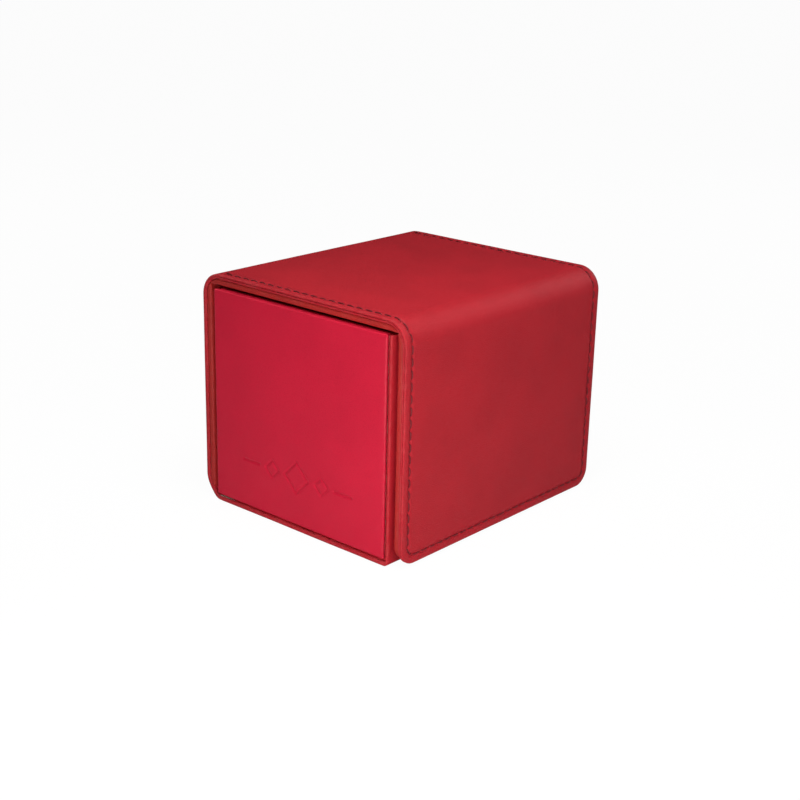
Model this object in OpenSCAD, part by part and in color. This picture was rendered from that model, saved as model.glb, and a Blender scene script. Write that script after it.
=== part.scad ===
// Side-opening card deck box: an open tray glued into a wrap-around cover.
// The cover runs up the tray's right wall, under it, up the left as a spine,
// over the top as a lid and down the right again as a magnetic flap.
// Origin: middle of the footprint, on the table. The facing panel looks along -Y.

/* [Cover] */
// Width over the closed cover, spine to flap
cover_w = 91; // [75:0.5:120]
// Depth of the cover, front edge to back edge
cover_d = 101; // [80:0.5:130]
// Height from the table to the top of the lid
cover_h = 80; // [60:0.5:110]
// Outer radius of the cover's folds
fold_r = 8; // [6.5:0.5:10]
// Thickness of the outer leatherette
skin_t = 0.8; // [0.6:0.1:1]
// Thickness of the backing leatherette sewn to it
backing_t = 0.8; // [0.6:0.1:1]
// Thickness of a lining board with its covering
lining_t = 2.2; // [1.6:0.1:2.6]
// Thickness of the covering on a lining board
lining_wrap = 0.4; // [0.3:0.1:0.6]
// How far the lining boards stop short of the cover's edges
lining_inset = 0.3; // [0.1:0.1:1]
// Gap between two lining boards where they meet at a fold
mitre_gap = 0.5; // [0.4:0.1:1]

/* [Flap] */
// Height of the flap's free edge above the table
flap_lift = 0.8; // [0.5:0.1:3]
// Corner radius at the flap's free edge
flap_corner_r = 6; // [4:0.5:10]
// How far the flap's lining stops above its free edge
flap_lining_lift = 1; // [0.5:0.1:3]

/* [Tray] */
// How far each facing panel stands out past the cover's edge
tray_proud = 1.5; // [0:0.1:3]
// How far the tray's left wall stands over the foot fold
foot_overlap = 0.6; // [0:0.1:0.9]
// Clearance between the tray and the flap's lining
flap_gap = 0.7; // [0.5:0.1:1.5]
// Clearance between the tray and the lid's lining
lid_gap = 0.8; // [0.5:0.1:2]
// Thickness of the tray's boards
board_t = 2; // [1.5:0.1:2.5]
// Thickness of the smooth facing panels, front and back
facing_t = 1; // [0.8:0.1:1.5]
// Thickness of the leatherette on the tray's other sides
wrap_t = 0.8; // [0.6:0.1:1]
// Thickness of the microfibre inside the tray
lining_cloth_t = 0.6; // [0.4:0.1:1]
// How far the leatherette turns over into the tray
turn_in = 11; // [6:1:20]
// Width of the dark groove beside the facing panels
groove_w = 0.9; // [0.8:0.1:1.2]
// Depth of that groove
groove_depth = 1.2; // [0.8:0.1:2]

/* [Base strip] */
// Thickness of the cover's strip on the tray's right wall
side_strip_t = 1; // [0.8:0.1:1.5]
// How much thicker the strip under the tray is than the two sewn layers
base_pad = 0.2; // [0.2:0.1:1]
// Thickness of the leatherette over both strips
strip_skin_t = 0.5; // [0.4:0.1:0.6]

/* [Thumb notch] */
// Width of the thumb notch in the right wall
notch_w = 32; // [20:1:44]
// Depth of the notch below the tray's rim
notch_h = 30; // [22:1:40]

/* [Magnets] */
// Radius of each disc magnet
magnet_r = 5; // [3:0.5:7]
// Thickness of each disc magnet
magnet_t = 1.4; // [1:0.1:1.5]
// Clearance round a magnet in its pocket
magnet_fit = 0.1; // [0.05:0.05:0.3]
// Height of the magnets' middles above the table
magnet_z = 18; // [14:1:24]
// Distance of the two magnets from the middle, along the depth
magnet_y = 26; // [15:1:32]

/* [Stitching] */
// Distance of the seam from the cover's edge
seam_inset = 3; // [2:0.1:4]
// Distance from one stitch to the next
stitch_pitch = 3.9; // [3:0.1:6]
// Length of one stitch
stitch_len = 2.6; // [1.5:0.1:2.7]
// Radius of the thread
thread_r = 0.25; // [0.15:0.05:0.3]
// Width of the pressed seam channel
channel_w = 1.1; // [0.9:0.1:1.4]

/* [Emblem] */
// Half width of the middle diamond pressed into the front panel
emblem_r = 6; // [4:0.5:9]
// Width of the pressed lines
emblem_line = 0.9; // [0.6:0.1:1.4]
// Depth of the pressed lines
emblem_depth = 0.3; // [0.2:0.05:0.5]
// Height of the emblem's middle above the table
emblem_z = 19; // [16:1:40]

/* [Hidden] */
$fn = 64;
cut = 0.5;                                   // how far a cutter passes the faces it opens
skins_t = skin_t + backing_t;                // both sewn layers
cover_t = skins_t + lining_t;                // whole thickness of the cover
x_out = cover_w / 2;                         // outer faces of spine and flap
x_in = x_out - cover_t;                      // lining faces of spine and flap
fold_x = x_out - fold_r;                     // where the folds end along X
fold_z = cover_h - fold_r;                   // where the upper folds begin
fold_in = fold_r - skins_t;                  // inner radius of the folds
lid_in = cover_h - cover_t;                  // lining face of the lid
mitre_shift = mitre_gap / sqrt(2);
lining_d = cover_d - 2 * lining_inset;

tray_d = cover_d + 2 * tray_proud;
base_strip_t = skins_t + base_pad;
tray_top = lid_in - lid_gap;
tray_left = -fold_x - foot_overlap;
strip_right = x_in - flap_gap;               // outer face of the side strip
box_right = strip_right - side_strip_t - groove_w;
box_floor = base_strip_t + groove_w;         // underside of the tray's boards
box_front = -tray_d / 2;
in_left = tray_left + wrap_t + board_t + lining_cloth_t;
in_right = box_right - board_t - lining_cloth_t;
in_front = box_front + facing_t + board_t + lining_cloth_t;
in_floor = box_floor + board_t + lining_cloth_t;
board_top = tray_top - wrap_t;
turn_z = tray_top - turn_in;                 // lower edge of the turned-in leatherette
box_w = box_right - tray_left;
box_mid = (box_right + tray_left) / 2;
notch_r = notch_w / 2;
magnet_pocket_r = magnet_r + magnet_fit;
channel_depth = 2 * thread_r;
seam_y = cover_d / 2 - seam_inset;
seam_z = flap_lift + seam_inset;
seam_corner = flap_corner_r - seam_inset;

leatherette = [0.66, 0.13, 0.16];
smooth_red = [0.75, 0.1, 0.18];
brown_red = [0.64, 0.2, 0.19];
microfibre = [0.32, 0.06, 0.08];
greyboard = [0.62, 0.58, 0.53];
thread_red = [0.36, 0.04, 0.06];
steel = [0.75, 0.76, 0.78];

// ---- shared shapes ----

// A block between two opposite corners
module block(low, high) {
    translate(low) cube(high - low);
}

// Extrudes an outline drawn in X and Z evenly to both sides of Y = 0
module along_depth(depth) {
    rotate([90, 0, 0]) linear_extrude(height = depth, center = true) children();
}

// Extrudes an outline drawn in Y and Z from x to x + thickness
module along_width(x, thickness) {
    translate([x, 0, 0]) rotate([90, 0, 90]) linear_extrude(height = thickness) children();
}

module rounded_outline(low, high, r) {
    translate([low[0] + r, low[1]]) square([high[0] - low[0] - 2 * r, high[1] - low[1]]);
    translate([low[0], low[1] + r]) square([high[0] - low[0], high[1] - low[1] - 2 * r]);
    for (u = [low[0] + r, high[0] - r], v = [low[1] + r, high[1] - r])
        translate([u, v]) circle(r);
}

// A quarter ring in X and Z round a fold's middle, side is -1 for left and 1 for right,
// up is 1 for a fold at the lid and -1 for the one at the table
module quarter_ring(side, up, r_in, r_out, depth) {
    middle_z = up > 0 ? fold_z : fold_r;
    translate([side * fold_x, 0, middle_z]) along_depth(depth) intersection() {
        difference() {
            circle(r_out);
            circle(r_in);
        }
        translate([side > 0 ? 0 : -fold_r, up > 0 ? 0 : -fold_r]) square(fold_r);
    }
}

// The band that the lining boards fill, in X and Z, rounded where it backs a fold
module lining_band() {
    difference() {
        rounded_outline([-x_out + skins_t, skins_t], [x_out - skins_t, cover_h - skins_t], fold_in);
        translate([-x_in, -cut]) square([2 * x_in, lid_in + cut]);
    }
}

// ---- cover: the strips glued to the tray ----

module base_skin() {
    color(leatherette) block([-fold_x, box_front, 0], [strip_right, -box_front, strip_skin_t]);
}

module base_board() {
    color(greyboard) block([-fold_x, box_front, strip_skin_t],
                           [strip_right - strip_skin_t, -box_front, base_strip_t]);
}

module side_strip_skin() {
    color(leatherette) difference() {
        block([strip_right - strip_skin_t, box_front, strip_skin_t],
              [strip_right, -box_front, tray_top]);
        thumb_notch(0);
    }
}

module side_strip_board() {
    color(greyboard) difference() {
        block([strip_right - side_strip_t, box_front, base_strip_t],
              [strip_right - strip_skin_t, -box_front, tray_top]);
        thumb_notch(0);
    }
}

// ---- cover: foot fold and spine ----

module foot_fold() {
    color(leatherette) quarter_ring(-1, -1, fold_in, fold_r, cover_d);
}

module spine_skin() {
    color(leatherette) block([-x_out, -cover_d / 2, fold_r], [-x_out + skin_t, cover_d / 2, fold_z]);
}

module spine_backing() {
    color(leatherette) block([-x_out + skin_t, -cover_d / 2, fold_r],
                             [-x_out + skins_t, cover_d / 2, fold_z]);
}

module spine_board() {
    color(greyboard) block([-x_out + skins_t, -lining_d / 2 + lining_wrap, fold_r],
                           [-x_in - lining_wrap, lining_d / 2 - lining_wrap, fold_z]);
}

module spine_lining() {
    color(brown_red) difference() {
        along_depth(lining_d) intersection() {
            lining_band();
            polygon([[-x_out, 0], [-x_out, cover_h - mitre_shift],
                     [-x_out + fold_r, cover_h - fold_r - mitre_shift], [-x_out + fold_r, 0]]);
        }
        spine_board();
    }
}

// ---- tray ----

// The thumb notch through the right wall, wider by grow
module thumb_notch(grow) {
    r = notch_r + grow;
    z = tray_top - notch_h + notch_r;
    along_width(in_right - cut, strip_right - in_right + 2 * cut) {
        translate([0, z]) circle(r);
        translate([-r, z]) square([2 * r, notch_h]);
    }
}

// Two discs whose right faces lie at x
module magnet_pair(x, r, thickness) {
    for (side = [-1, 1])
        translate([x - thickness, side * magnet_y, magnet_z])
            rotate([0, 90, 0]) cylinder(r = r, h = thickness);
}

module tray_bottom_skin() {
    color(leatherette) block([tray_left + wrap_t, box_front + groove_depth, base_strip_t],
                             [box_right, -box_front - groove_depth, box_floor]);
}

module tray_floor_board() {
    color(greyboard) block([tray_left + wrap_t, box_front + facing_t, box_floor],
                           [box_right, -box_front - facing_t, box_floor + board_t]);
}

module tray_end_board(side) {
    y = side > 0 ? -box_front - facing_t - board_t : box_front + facing_t;
    color(greyboard) block([tray_left + wrap_t, y, box_floor + board_t],
                           [box_right, y + board_t, board_top]);
}

module tray_front_board() {
    tray_end_board(-1);
}

module tray_back_board() {
    tray_end_board(1);
}

module tray_left_board() {
    color(greyboard) block([tray_left + wrap_t, box_front + facing_t + board_t, box_floor + board_t],
                           [tray_left + wrap_t + board_t, -box_front - facing_t - board_t, board_top]);
}

module tray_right_board() {
    color(greyboard) difference() {
        block([box_right - board_t, box_front + facing_t + board_t, box_floor + board_t],
              [box_right, -box_front - facing_t - board_t, board_top]);
        thumb_notch(wrap_t);
        magnet_pair(box_right, magnet_pocket_r, board_t);
    }
}

module tray_magnets() {
    color(steel) magnet_pair(box_right, magnet_r, magnet_t);
}

// A wall's leatherette in section, its outside at u = 0: the outside sheet with the turn over the rim
module outer_turn(outside_t, low_z) {
    translate([0, low_z]) square([outside_t, tray_top - low_z]);
    translate([0, board_top]) square([outside_t + board_t + lining_cloth_t, wrap_t]);
}

// The edge that is turned down inside the wall
module inner_turn(outside_t) {
    translate([outside_t + board_t, turn_z]) square([lining_cloth_t, tray_top - turn_z]);
}

module end_panel() {
    inside_left = in_left - lining_cloth_t;
    inside_right = in_right + lining_cloth_t;
    translate([0, box_front, 0]) {
        along_width(tray_left, box_w) outer_turn(facing_t, box_floor);
        along_width(inside_left, inside_right - inside_left) inner_turn(facing_t);
    }
}

module front_panel() {
    color(smooth_red) difference() {
        end_panel();
        translate([box_mid, box_front + emblem_depth, emblem_z]) rotate([90, 0, 0])
            linear_extrude(height = emblem_depth + cut) emblem();
    }
}

module back_panel() {
    color(smooth_red) mirror([0, 1, 0]) end_panel();
}

module tray_left_skin() {
    color(leatherette) {
        translate([tray_left, 0, 0]) along_depth(-2 * in_front) {
            outer_turn(wrap_t, base_strip_t);
            inner_turn(wrap_t);
        }
        block([tray_left, box_front + facing_t, base_strip_t],
              [tray_left + wrap_t, -box_front - facing_t, board_top]);
    }
}

module tray_right_skin() {
    color(leatherette) {
        difference() {
            union() {
                translate([box_right + groove_w, 0, 0]) mirror([1, 0, 0]) along_depth(-2 * in_front) {
                    outer_turn(groove_w, base_strip_t);
                    inner_turn(groove_w);
                }
                block([box_right, box_front + groove_depth, base_strip_t],
                      [box_right + groove_w, -box_front - groove_depth, tray_top]);
            }
            thumb_notch(0);
        }
        intersection() {
            difference() {
                thumb_notch(wrap_t);
                thumb_notch(0);
            }
            block([in_right, in_front, box_floor + board_t],
                  [box_right + groove_w, -in_front, board_top]);
        }
    }
}

// ---- microfibre inside the tray ----

module floor_lining() {
    y = -in_front + lining_cloth_t;
    color(microfibre) block([in_left - lining_cloth_t, -y, in_floor - lining_cloth_t],
                            [in_right + lining_cloth_t, y, in_floor]);
}

module end_lining(side) {
    y = side > 0 ? -in_front : in_front - lining_cloth_t;
    color(microfibre) block([in_left - lining_cloth_t, y, in_floor],
                            [in_right + lining_cloth_t, y + lining_cloth_t, turn_z]);
}

module front_lining() {
    end_lining(-1);
}

module back_lining() {
    end_lining(1);
}

module left_lining() {
    color(microfibre) block([in_left - lining_cloth_t, in_front, in_floor],
                            [in_left, -in_front, turn_z]);
}

module right_lining() {
    color(microfibre) difference() {
        block([in_right, in_front, in_floor], [in_right + lining_cloth_t, -in_front, turn_z]);
        thumb_notch(wrap_t);
    }
}

// ---- lid ----

module lid_fold_skin() {
    color(leatherette) quarter_ring(-1, 1, fold_r - skin_t, fold_r, cover_d);
}

module lid_fold_backing() {
    color(leatherette) quarter_ring(-1, 1, fold_in, fold_r - skin_t, cover_d);
}

module lid_skin() {
    color(leatherette) difference() {
        block([-fold_x, -cover_d / 2, cover_h - skin_t], [fold_x, cover_d / 2, cover_h]);
        for (side = [-1, 1])
            translate([0, side * seam_y, cover_h])
                cube([cover_w, channel_w, 2 * channel_depth], center = true);
    }
}

module lid_backing() {
    color(leatherette) block([-fold_x, -cover_d / 2, cover_h - skins_t],
                             [fold_x, cover_d / 2, cover_h - skin_t]);
}

module lid_board() {
    color(greyboard) block([-fold_x, -lining_d / 2 + lining_wrap, lid_in + lining_wrap],
                           [fold_x, lining_d / 2 - lining_wrap, cover_h - skins_t]);
}

module lid_lining() {
    color(brown_red) difference() {
        along_depth(lining_d) intersection() {
            lining_band();
            polygon([[-x_out + mitre_shift, cover_h], [x_out - mitre_shift, cover_h],
                     [fold_x - mitre_shift, fold_z], [-fold_x + mitre_shift, fold_z]]);
        }
        lid_board();
    }
}

// One stitch lying along X
module stitch() {
    rotate([0, 90, 0]) cylinder(r = thread_r, h = stitch_len, center = true, $fn = 24);
}

module lid_stitches() {
    count = floor(2 * fold_x / stitch_pitch);
    color(thread_red) for (side = [-1, 1], i = [0 : count - 1])
        translate([(i - (count - 1) / 2) * stitch_pitch, side * seam_y, cover_h - thread_r]) stitch();
}

// ---- flap ----

module flap_fold_skin() {
    color(leatherette) difference() {
        quarter_ring(1, 1, fold_r - skin_t, fold_r, cover_d);
        for (side = [-1, 1]) translate([0, side * seam_y, 0])
            quarter_ring(1, 1, fold_r - channel_depth, fold_r, channel_w);
    }
}

module flap_fold_backing() {
    color(leatherette) quarter_ring(1, 1, fold_in, fold_r - skin_t, cover_d);
}

module flap_fold_stitches() {
    arc = fold_r * PI / 2;
    count = floor(arc / stitch_pitch);
    color(thread_red) for (side = [-1, 1], i = [0 : count - 1])
        translate([fold_x, side * seam_y, fold_z]) rotate([0, (i + 0.5) * 90 / count, 0])
            translate([0, 0, fold_r - thread_r]) rotate([0, 90, 0])
                cylinder(r = thread_r, h = stitch_len * 0.8, center = true, $fn = 24);
}

// The flap's outline in Y and Z, smaller by inset on its free edges
module flap_outline(inset, bottom, top) {
    half = cover_d / 2 - inset;
    r = max(flap_corner_r - inset, 1);
    intersection() {
        rounded_outline([-half, bottom], [half, top + 2 * r], r);
        translate([-half, bottom]) square([2 * half, top - bottom]);
    }
}

// The seam's channel as an outline, between two insets from the flap's edges
module seam_outline() {
    difference() {
        flap_outline(seam_inset - channel_w / 2, seam_z - channel_w / 2, fold_z);
        flap_outline(seam_inset + channel_w / 2, seam_z + channel_w / 2, fold_z);
    }
}

module flap_skin() {
    color(leatherette) difference() {
        along_width(x_out - skin_t, skin_t) flap_outline(0, flap_lift, fold_z);
        along_width(x_out - channel_depth, channel_depth + cut) seam_outline();
    }
}

module flap_backing() {
    color(leatherette) along_width(x_out - skins_t, backing_t) flap_outline(0, flap_lift, fold_z);
}

module flap_board() {
    edge = lining_inset + lining_wrap;
    color(greyboard) difference() {
        along_width(x_in + lining_wrap, lining_t - lining_wrap)
            flap_outline(edge, flap_lift + flap_lining_lift + lining_wrap, fold_z);
        magnet_pair(x_in + lining_t, magnet_pocket_r, lining_t - lining_wrap);
    }
}

module flap_lining() {
    color(brown_red) difference() {
        intersection() {
            along_depth(lining_d) intersection() {
                union() {
                    lining_band();
                    translate([x_in, 0]) square([lining_t, fold_z]);
                }
                polygon([[x_out, 0], [x_out, cover_h - mitre_shift],
                         [fold_x, cover_h - fold_r - mitre_shift], [fold_x, 0]]);
            }
            along_width(x_in, lining_t)
                flap_outline(lining_inset, flap_lift + flap_lining_lift, cover_h);
        }
        along_width(x_in + lining_wrap, lining_t)
            flap_outline(lining_inset + lining_wrap, flap_lift + flap_lining_lift + lining_wrap, fold_z);
    }
}

module flap_magnets() {
    color(steel) magnet_pair(x_in + lining_wrap + magnet_t, magnet_r, magnet_t);
}

// Lengths of the seam on the flap: one side, one corner and the free edge
seam_side = fold_z - seam_z - seam_corner;
seam_arc = seam_corner * PI / 2;
seam_foot = 2 * (seam_y - seam_corner);
seam_run = 2 * seam_side + 2 * seam_arc + seam_foot;

// Place and heading of the seam at a run s from the front upper end: [y, z, heading]
function seam_at(s) =
    s > seam_run / 2 ? mirrored(seam_at(seam_run - s)) :
    s < seam_side ? [-seam_y, fold_z - s, -90] :
    s < seam_side + seam_arc ? seam_corner_at((s - seam_side) / seam_arc * 90) :
    [-seam_y + seam_corner + s - seam_side - seam_arc, seam_z, 0];
function mirrored(p) = [-p[0], p[1], -p[2]];
function seam_corner_at(a) =
    [-seam_y + seam_corner - seam_corner * cos(a), seam_z + seam_corner - seam_corner * sin(a), a - 90];

module flap_stitches() {
    count = floor(seam_run / stitch_pitch);
    step = seam_run / count;
    color(thread_red) for (i = [0 : count - 1]) {
        p = seam_at((i + 0.5) * step);
        translate([x_out - thread_r, p[0], p[1]]) rotate([p[2], 0, 0]) rotate([0, 0, 90]) stitch();
    }
}

// ---- emblem: a plain row of diamonds between two bars ----

module diamond_line(r) {
    difference() {
        polygon([[-r, 0], [0, -r], [r, 0], [0, r]]);
        polygon([[-r + emblem_line * sqrt(2), 0], [0, -r + emblem_line * sqrt(2)],
                 [r - emblem_line * sqrt(2), 0], [0, r - emblem_line * sqrt(2)]]);
    }
}

module emblem() {
    small = emblem_r * 0.6;
    bar = emblem_r * 1.4;
    step = emblem_r + small + 2 * emblem_line;
    diamond_line(emblem_r);
    for (side = [-1, 1]) {
        translate([side * step, 0]) diamond_line(small);
        translate([side * (step + small + 2 * emblem_line + bar / 2), 0])
            square([bar, emblem_line], center = true);
    }
}

base_skin();
base_board();
foot_fold();
spine_skin();
spine_backing();
spine_board();
spine_lining();
side_strip_board();
side_strip_skin();
tray_bottom_skin();
tray_floor_board();
tray_front_board();
tray_back_board();
tray_left_board();
tray_right_board();
tray_magnets();
front_panel();
back_panel();
tray_left_skin();
tray_right_skin();
floor_lining();
front_lining();
back_lining();
left_lining();
right_lining();
lid_fold_skin();
lid_fold_backing();
lid_skin();
lid_backing();
lid_board();
lid_lining();
lid_stitches();
flap_fold_skin();
flap_fold_backing();
flap_fold_stitches();
flap_skin();
flap_backing();
flap_board();
flap_lining();
flap_magnets();
flap_stitches();
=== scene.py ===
"""Looks of a side-opening card deck box, built round its packed CAD model. Lengths are in metres."""

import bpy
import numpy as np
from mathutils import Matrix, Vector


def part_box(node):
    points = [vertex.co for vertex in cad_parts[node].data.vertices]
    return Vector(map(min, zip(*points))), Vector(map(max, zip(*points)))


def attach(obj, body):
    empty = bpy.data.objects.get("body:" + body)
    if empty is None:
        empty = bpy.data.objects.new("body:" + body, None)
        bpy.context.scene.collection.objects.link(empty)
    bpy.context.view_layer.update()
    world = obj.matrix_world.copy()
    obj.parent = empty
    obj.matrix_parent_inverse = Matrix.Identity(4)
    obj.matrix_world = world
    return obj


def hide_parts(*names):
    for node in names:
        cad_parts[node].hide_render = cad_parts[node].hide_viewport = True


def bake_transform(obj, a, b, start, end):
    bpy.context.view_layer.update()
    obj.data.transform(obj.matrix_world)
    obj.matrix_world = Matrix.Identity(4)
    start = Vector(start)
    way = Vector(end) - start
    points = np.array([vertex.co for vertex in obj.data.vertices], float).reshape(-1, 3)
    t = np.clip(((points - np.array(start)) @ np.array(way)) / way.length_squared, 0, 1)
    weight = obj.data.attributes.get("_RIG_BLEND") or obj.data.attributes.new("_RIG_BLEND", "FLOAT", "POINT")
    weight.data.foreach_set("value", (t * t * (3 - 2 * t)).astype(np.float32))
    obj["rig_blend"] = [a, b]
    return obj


bl_info = {
    "name": "Card Deck Box",
    "version": (1, 0, 0),
    "blender": (4, 5, 0),
    "location": "View3D > Sidebar > Deck Box",
    "description": "Builds the sewn leatherette cover, lining boards and tray of a card deck box",
    "category": "Object",
}

import math
from collections import namedtuple

import bmesh
import bpy
from bpy.props import FloatProperty, FloatVectorProperty, PointerProperty
from mathutils import Matrix, Vector, noise

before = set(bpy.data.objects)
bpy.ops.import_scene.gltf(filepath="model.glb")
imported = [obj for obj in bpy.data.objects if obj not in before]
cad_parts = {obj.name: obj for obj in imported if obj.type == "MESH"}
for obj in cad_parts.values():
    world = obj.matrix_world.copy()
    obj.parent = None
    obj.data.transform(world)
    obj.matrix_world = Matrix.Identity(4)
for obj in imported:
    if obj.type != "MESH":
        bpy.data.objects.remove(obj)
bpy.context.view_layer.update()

# ---- places read from the frame ----

lid_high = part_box("lid_skin")[1]
flap_low, flap_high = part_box("flap_skin")
LID_TOP = lid_high.z
HALF_DEPTH = lid_high.y
FOLD_X = lid_high.x
FOLD_Z = flap_high.z
FOLD_R = LID_TOP - FOLD_Z
X_OUT = flap_high.x
FLAP_FOOT = flap_low.z
SKIN = X_OUT - flap_low.x
BOTH_SKINS = X_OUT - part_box("flap_backing")[0].x
FOLD_IN = FOLD_R - BOTH_SKINS

lining_low, lining_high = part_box("flap_lining")
lid_lining_low, lid_lining_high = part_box("lid_lining")
X_IN = lining_low.x
LINING_FOOT = lining_low.z
LINING_HALF = lining_high.y
LID_IN = lid_lining_low.z
MITRE_ANGLE = math.acos((lid_lining_high.x - FOLD_X) / FOLD_IN)

strip_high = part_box("side_strip_skin")[1]
panel_low, panel_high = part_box("front_panel")
front_lining_low, front_lining_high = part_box("front_lining")
TRAY_HALF = strip_high.y
STRIP_RIGHT = strip_high.x
STRIP_THICK = STRIP_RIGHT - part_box("side_strip_board")[0].x
TRAY_TOP = strip_high.z
BASE_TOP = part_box("base_board")[1].z
BOARD_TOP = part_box("tray_front_board")[1].z
TURN_Z = front_lining_high.z
THROUGH_STRIP = (STRIP_RIGHT - 0.004, STRIP_RIGHT + 0.004)  # from and to where the notch is cut

BEND = 0.0009  # half the width of the stretch that bends at the outside of a fold
JOIN = 0.0006  # how far a fold's piece reaches along the flat next to it
CARD_BACK = 0.0006  # how far the card stays behind the leatherette's edges
COARSE = 0.003  # spacing of points along a plain flat
EMBLEM_GRID = 0.00026  # spacing of points under the pressed emblem
STITCH_GRID = 0.0002  # spacing of points along the thread
KNOT = 0.00028  # how far the knot at the start of the seam stands up
SEAM_REACH = 0.003  # how far to either side the seam shapes the leatherette
CHANNEL_WIDTH = 0.0006
HOLE_ACROSS = 0.00045
HOLE_ALONG = 0.0007
SWELL = 0.00007  # height of the soft swell on both sides of the seam, and its places and width
SWELL_OFF = (0.0014, -0.0015)
SWELL_WIDTH = 0.0008
DIVE = 0.0010  # how deep the thread goes down at a needle hole
DIVE_WIDTH = 0.00062
HALF_TWIST = 0.0011  # thread length of half a twist
TUBE_SIDES = 10
FLOOR_REACH = 6.0
STAGE_WHITE = 1.03  # strength of the white that the camera sees on the floor and round it


# ---- sizes and colours a user would change ----

def colour_setting(name, description, default):
    return FloatVectorProperty(
        name=name, description=description, default=default, subtype="COLOR", size=3, min=0, max=1)


def length_setting(name, description, default):
    return FloatProperty(name=name, description=description, default=default, unit="LENGTH")


def angle_setting(name, description, degrees):
    return FloatProperty(
        name=name, description=description, default=math.radians(degrees), unit="ROTATION")


class SewingSizes(bpy.types.PropertyGroup):
    """The seam along the lid and the flap"""
    inset: length_setting("Seam inset", "Distance of the seam from the edge", 0.003)
    pitch: length_setting("Stitch pitch", "Distance from one needle hole to the next", 0.0039)
    thread: length_setting("Thread radius", "Radius of the sewing thread", 0.00025)
    channel: length_setting("Channel depth", "How deep the seam pulls the leatherette in", 0.00016)
    hole: length_setting("Hole depth", "Extra depth of the dimple at each needle hole", 0.00045)


class CoverSizes(bpy.types.PropertyGroup):
    """The wrap-around cover"""
    corner: length_setting("Flap corner", "Corner radius at the flap's free edge", 0.006)
    edge: length_setting("Skin edge", "Rounding of a cut leatherette edge", 0.00038)
    board_edge: length_setting("Lining edge", "Rounding of a covered lining board's edge", 0.0008)
    wave: length_setting("Unevenness", "How far the large faces wander from flat", 0.00006)
    strip_corner: length_setting(
        "Strip corner", "Radius where the base strip turns up the tray's right wall", 0.002)


class TraySizes(bpy.types.PropertyGroup):
    """The tray and its facing panels"""
    panel_edge: length_setting("Panel edge", "Rounding of the facing panels' edges", 0.0004)
    rim: length_setting("Rim radius", "Rounding where leatherette turns over the tray's rim", 0.0005)
    notch_width: length_setting("Notch width", "Width of the thumb notch", 0.032)
    notch_depth: length_setting("Notch depth", "Depth of the thumb notch", 0.030)
    emblem_r: length_setting("Emblem radius", "Half width of the pressed middle diamond", 0.006)
    emblem_z: length_setting("Emblem height", "Height of the pressed emblem above the table", 0.019)
    emblem_line: length_setting("Emblem line", "Width of the pressed lines", 0.0009)
    emblem_depth: length_setting("Emblem depth", "Depth of the pressed lines", 0.0003)


class Finishes(bpy.types.PropertyGroup):
    """Colours of the materials"""
    grained: colour_setting("Grained leatherette", "Outside of the cover", (0.42, 0.011, 0.020))
    smooth: colour_setting("Smooth leatherette", "Facing panels of the tray", (0.53, 0.009, 0.034))
    lining: colour_setting("Lining leatherette", "Covering of the lining boards", (0.40, 0.018, 0.016))
    cloth: colour_setting("Microfibre", "Inside of the tray", (0.085, 0.004, 0.008))
    thread: colour_setting("Thread", "Sewing thread", (0.15, 0.005, 0.010))
    board: colour_setting("Greyboard", "Core boards", (0.34, 0.30, 0.25))


class StudioSizes(bpy.types.PropertyGroup):
    """Camera, floor and lights"""
    camera: FloatVectorProperty(
        name="Camera", description="Place of the camera", default=(0.3085, -0.3541, 0.1930),
        subtype="TRANSLATION", size=3)
    yaw: angle_setting("Yaw", "Camera heading from +Y towards +X", -41.12)
    pitch: angle_setting("Pitch", "How far the camera looks down", 18.79)
    roll: angle_setting("Roll", "Tilt of the camera", 1.34)
    lens: FloatProperty(
        name="Lens", description="Focal length in millimetres", default=63.88, unit="CAMERA")
    floor: colour_setting("Floor", "Colour of the plain floor", (0.60, 0.60, 0.60))
    glow: FloatProperty(
        name="Floor glow", description="Share of the floor that the camera sees as lit from below",
        default=0.94, min=0, max=1)
    world: FloatProperty(
        name="Room light", description="Strength of the even light of the room", default=0.07)


# ---- shapes ----

Station = namedtuple("Station", "outer inner low high fold")


def in_cover(flat, across):
    """A point of the cover: flat holds X and Z, across runs along the depth."""
    return Vector((flat.x, across, flat.y))


def smooth_step(low, high, value):
    t = min(max((value - low) / (high - low), 0.0), 1.0)
    return t * t * (3 - 2 * t)


def bump_at(distance, width):
    return math.exp(-((distance / width) ** 2))


def steps(start, end, size):
    """Evenly spaced values from start to end, both included, about size apart."""
    count = max(1, round(abs(end - start) / size))
    return [start + (end - start) * i / count for i in range(count + 1)]


def rounded_profile(reach, thickness, r_out, r_in, insets=()):
    """A layer's edge as (inset, share of the thickness), from the outer face round to the inner one."""
    turns = [math.pi / 2 * i / 4 for i in range(5)]
    points = [(reach, 0.0)] + [(inset, 0.0) for inset in insets]
    points += [(r_out * (1 - math.sin(a)), r_out * (1 - math.cos(a)) / thickness) for a in turns]
    points += [(r_in * (1 - math.cos(a)), 1 - r_in * (1 - math.sin(a)) / thickness) for a in turns]
    return points + [(reach, 1.0)]


def add_grid(bm, rows):
    """Joins rows of equally many (point, edge, fold) into faces, and keeps what each vertex is."""
    marks = bm.verts.layers.float
    edge, fold = marks["edge"], marks["fold"]
    made = []
    for row in rows:
        line = []
        for point, near_edge, in_fold in row:
            vertex = bm.verts.new(point)
            vertex[edge] = near_edge
            vertex[fold] = in_fold
            line.append(vertex)
        made.append(line)
    for low, high in zip(made, made[1:]):
        for k in range(len(low) - 1):
            bm.faces.new((low[k], low[k + 1], high[k + 1], high[k]))


def object_from(bm, name):
    mesh = bpy.data.meshes.new(name)
    bm.to_mesh(mesh)
    bm.free()
    made = bpy.data.objects.new(name, mesh)
    bpy.context.scene.collection.objects.link(made)
    return made


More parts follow.
